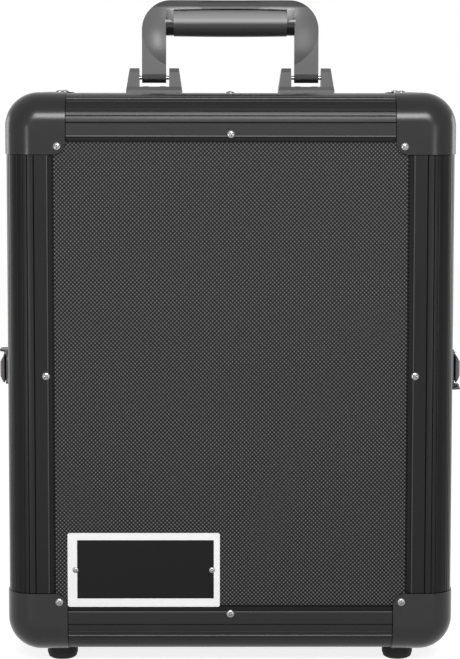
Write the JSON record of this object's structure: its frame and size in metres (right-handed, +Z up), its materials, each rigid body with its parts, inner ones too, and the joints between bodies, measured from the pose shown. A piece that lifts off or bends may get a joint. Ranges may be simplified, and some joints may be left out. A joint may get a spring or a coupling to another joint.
{
  "type": "flight case",
  "caption": "Upright flight case with a lift-off front lid, a fold-down carrying handle on top and a twist latch on each side.",
  "frame": {"origin": "centre of the footprint at the underside of the rubber feet", "axes": "+Z up along the case's height towards the handle, +Y towards the back, so the lid faces -Y"},
  "size_m": [0.3474, 0.1446, 0.4926],
  "materials": {
    "edge_profile": "black anodised, fine grooves",
    "rim": "black anodised",
    "corner_cap": "satin black moulded",
    "panel": "plywood faced with black textured laminate",
    "foam": "charcoal foam",
    "foot": "black rubber",
    "badge": "white border with a plain black field",
    "handle": "dark grey satin",
    "grip": "soft dark grey",
    "pin": "bright steel",
    "fastener": "nickel plated",
    "latch_steel": "black plated steel"
  },
  "bodies": {
    "base": {"back_panel": "panel", "base_cap_bottom_left": "corner_cap", "base_cap_bottom_right": "corner_cap", "base_cap_top_left": "corner_cap", "base_cap_top_right": "corner_cap", "base_edge_bottom": "edge_profile", "base_edge_left": "edge_profile", "base_edge_right": "edge_profile", "base_edge_top": "edge_profile", "base_foam_liner": "foam", "base_foam_pad": "foam", "base_post_bottom_left": "edge_profile", "base_post_bottom_right": "edge_profile", "base_post_top_left": "edge_profile", "base_post_top_right": "edge_profile", "base_rim": "rim", "base_screws": "fastener", "claw_pins": "pin", "foot_back_left": "foot", "foot_back_right": "foot", "handle_lug_left": "handle", "handle_lug_right": "handle", "handle_pin_left": "pin", "handle_pin_right": "pin", "latch_plate_left": "latch_steel", "latch_plate_right": "latch_steel", "latch_rivets": "fastener", "lug_rivets": "fastener", "side_panel_bottom": "panel", "side_panel_left": "panel", "side_panel_right": "panel", "side_panel_top": "panel"},
    "lid": {"badge_plate": "badge", "badge_screws": "fastener", "foot_front_left": "foot", "foot_front_right": "foot", "keeper_left": "latch_steel", "keeper_right": "latch_steel", "keeper_rivets": "fastener", "lid_cap_bottom_left": "corner_cap", "lid_cap_bottom_right": "corner_cap", "lid_cap_top_left": "corner_cap", "lid_cap_top_right": "corner_cap", "lid_edge_bottom": "edge_profile", "lid_edge_left": "edge_profile", "lid_edge_right": "edge_profile", "lid_edge_top": "edge_profile", "lid_foam": "foam", "lid_panel": "panel", "lid_rim": "rim", "lid_screws": "fastener"},
    "handle": {"handle_frame": "handle", "handle_grip": "grip"},
    "rotor_left": {"rotor_left": "latch_steel"},
    "wing_left": {"wing_left": "latch_steel"},
    "claw_left": {"claw_left": "latch_steel"},
    "rotor_right": {"rotor_right": "latch_steel"},
    "wing_right": {"wing_right": "latch_steel"},
    "claw_right": {"claw_right": "latch_steel"}
  },
  "joints": [
    {"name": "lid_lift_off", "type": "slide", "parent": "base", "child": "lid", "axis": [0, -1, 0], "range_m": [0, 0.09]},
    {"name": "handle_fold", "type": "hinge", "parent": "base", "child": "handle", "pos_m": [0, 0.017, 0.4346], "axis": [1, 0, 0], "range_deg": [-80, 80]},
    {"name": "rotor_turn_left", "type": "hinge", "parent": "base", "child": "rotor_left", "pos_m": [-0.166, 0.02, 0.2175], "axis": [-1, 0, 0], "range_deg": [-15, 75]},
    {"name": "claw_tilt_left", "type": "hinge", "parent": "base", "child": "claw_left", "pos_m": [-0.1677, 0.002, 0.2175], "axis": [0, 0, -1], "range_deg": [-4, 20]},
    {"name": "wing_fold_left", "type": "hinge", "parent": "rotor_left", "child": "wing_left", "pos_m": [-0.1713, 0.0146, 0.2175], "axis": [0, 0, 1], "range_deg": [0, 90]},
    {"name": "rotor_turn_right", "type": "hinge", "parent": "base", "child": "rotor_right", "pos_m": [0.166, 0.02, 0.2175], "axis": [1, 0, 0], "range_deg": [-15, 75]},
    {"name": "claw_tilt_right", "type": "hinge", "parent": "base", "child": "claw_right", "pos_m": [0.1677, 0.002, 0.2175], "axis": [0, 0, 1], "range_deg": [-4, 20]},
    {"name": "wing_fold_right", "type": "hinge", "parent": "rotor_right", "child": "wing_right", "pos_m": [0.1713, 0.0146, 0.2175], "axis": [0, 0, -1], "range_deg": [0, 90]}
  ],
  "couplings": [
    {"joint": "claw_tilt_left", "follows": "rotor_turn_left", "ratio": 0.26667},
    {"joint": "claw_tilt_right", "follows": "rotor_turn_right", "ratio": 0.26667}
  ]
}
